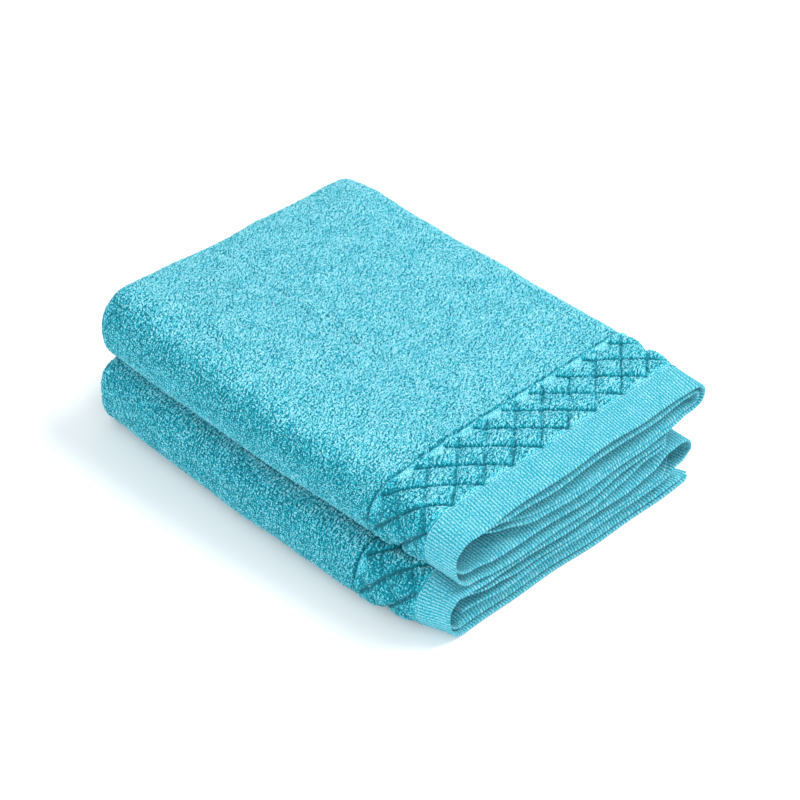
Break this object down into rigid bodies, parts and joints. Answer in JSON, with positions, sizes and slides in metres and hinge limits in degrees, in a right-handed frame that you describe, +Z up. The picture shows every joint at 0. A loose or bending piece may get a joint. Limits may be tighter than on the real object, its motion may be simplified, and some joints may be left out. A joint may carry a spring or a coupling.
{
  "type": "folded bath towel set",
  "caption": "Folded terry bath towels stacked as thick rectangular packs, with a raised diamond border and flat ribbed hems at one end, for drying after a bath.",
  "frame": {"origin": "centre of the base of the stack, on the surface it rests on", "axes": "+X along the packs towards the hems, +Y across them towards the side where the plies lie open, +Z up"},
  "size_m": [0.3498, 0.2558, 0.1057],
  "materials": {
    "terry": "cotton loop pile, matte",
    "border": "jacquard loop pile, raised diamonds between flat grooves, matte",
    "hem": "flat ribbed cotton weave, matte",
    "thread": "spun cotton sewing thread, satin"
  },
  "bodies": {
    "lower_towel": {"lower_bottom_panel": "terry", "lower_left_fold": "terry", "lower_top_panel": "terry", "lower_right_fold": "terry", "lower_middle_panel": "terry", "lower_far_fold": "terry", "lower_outer_border": "border", "lower_inner_border": "border", "lower_outer_hem": "hem", "lower_inner_hem": "hem", "lower_outer_hem_thread": "thread", "lower_inner_hem_thread": "thread"},
    "upper_towel": {"upper_bottom_panel": "terry", "upper_left_fold": "terry", "upper_top_panel": "terry", "upper_right_fold": "terry", "upper_middle_panel": "terry", "upper_far_fold": "terry", "upper_outer_border": "border", "upper_inner_border": "border", "upper_outer_hem": "hem", "upper_inner_hem": "hem", "upper_outer_hem_thread": "thread", "upper_inner_hem_thread": "thread"}
  },
  "joints": [
    {"name": "upper_towel_lift", "type": "slide", "parent": "lower_towel", "child": "upper_towel", "axis": [0, 0, 1], "range_m": [0, 0.15]}
  ]
}
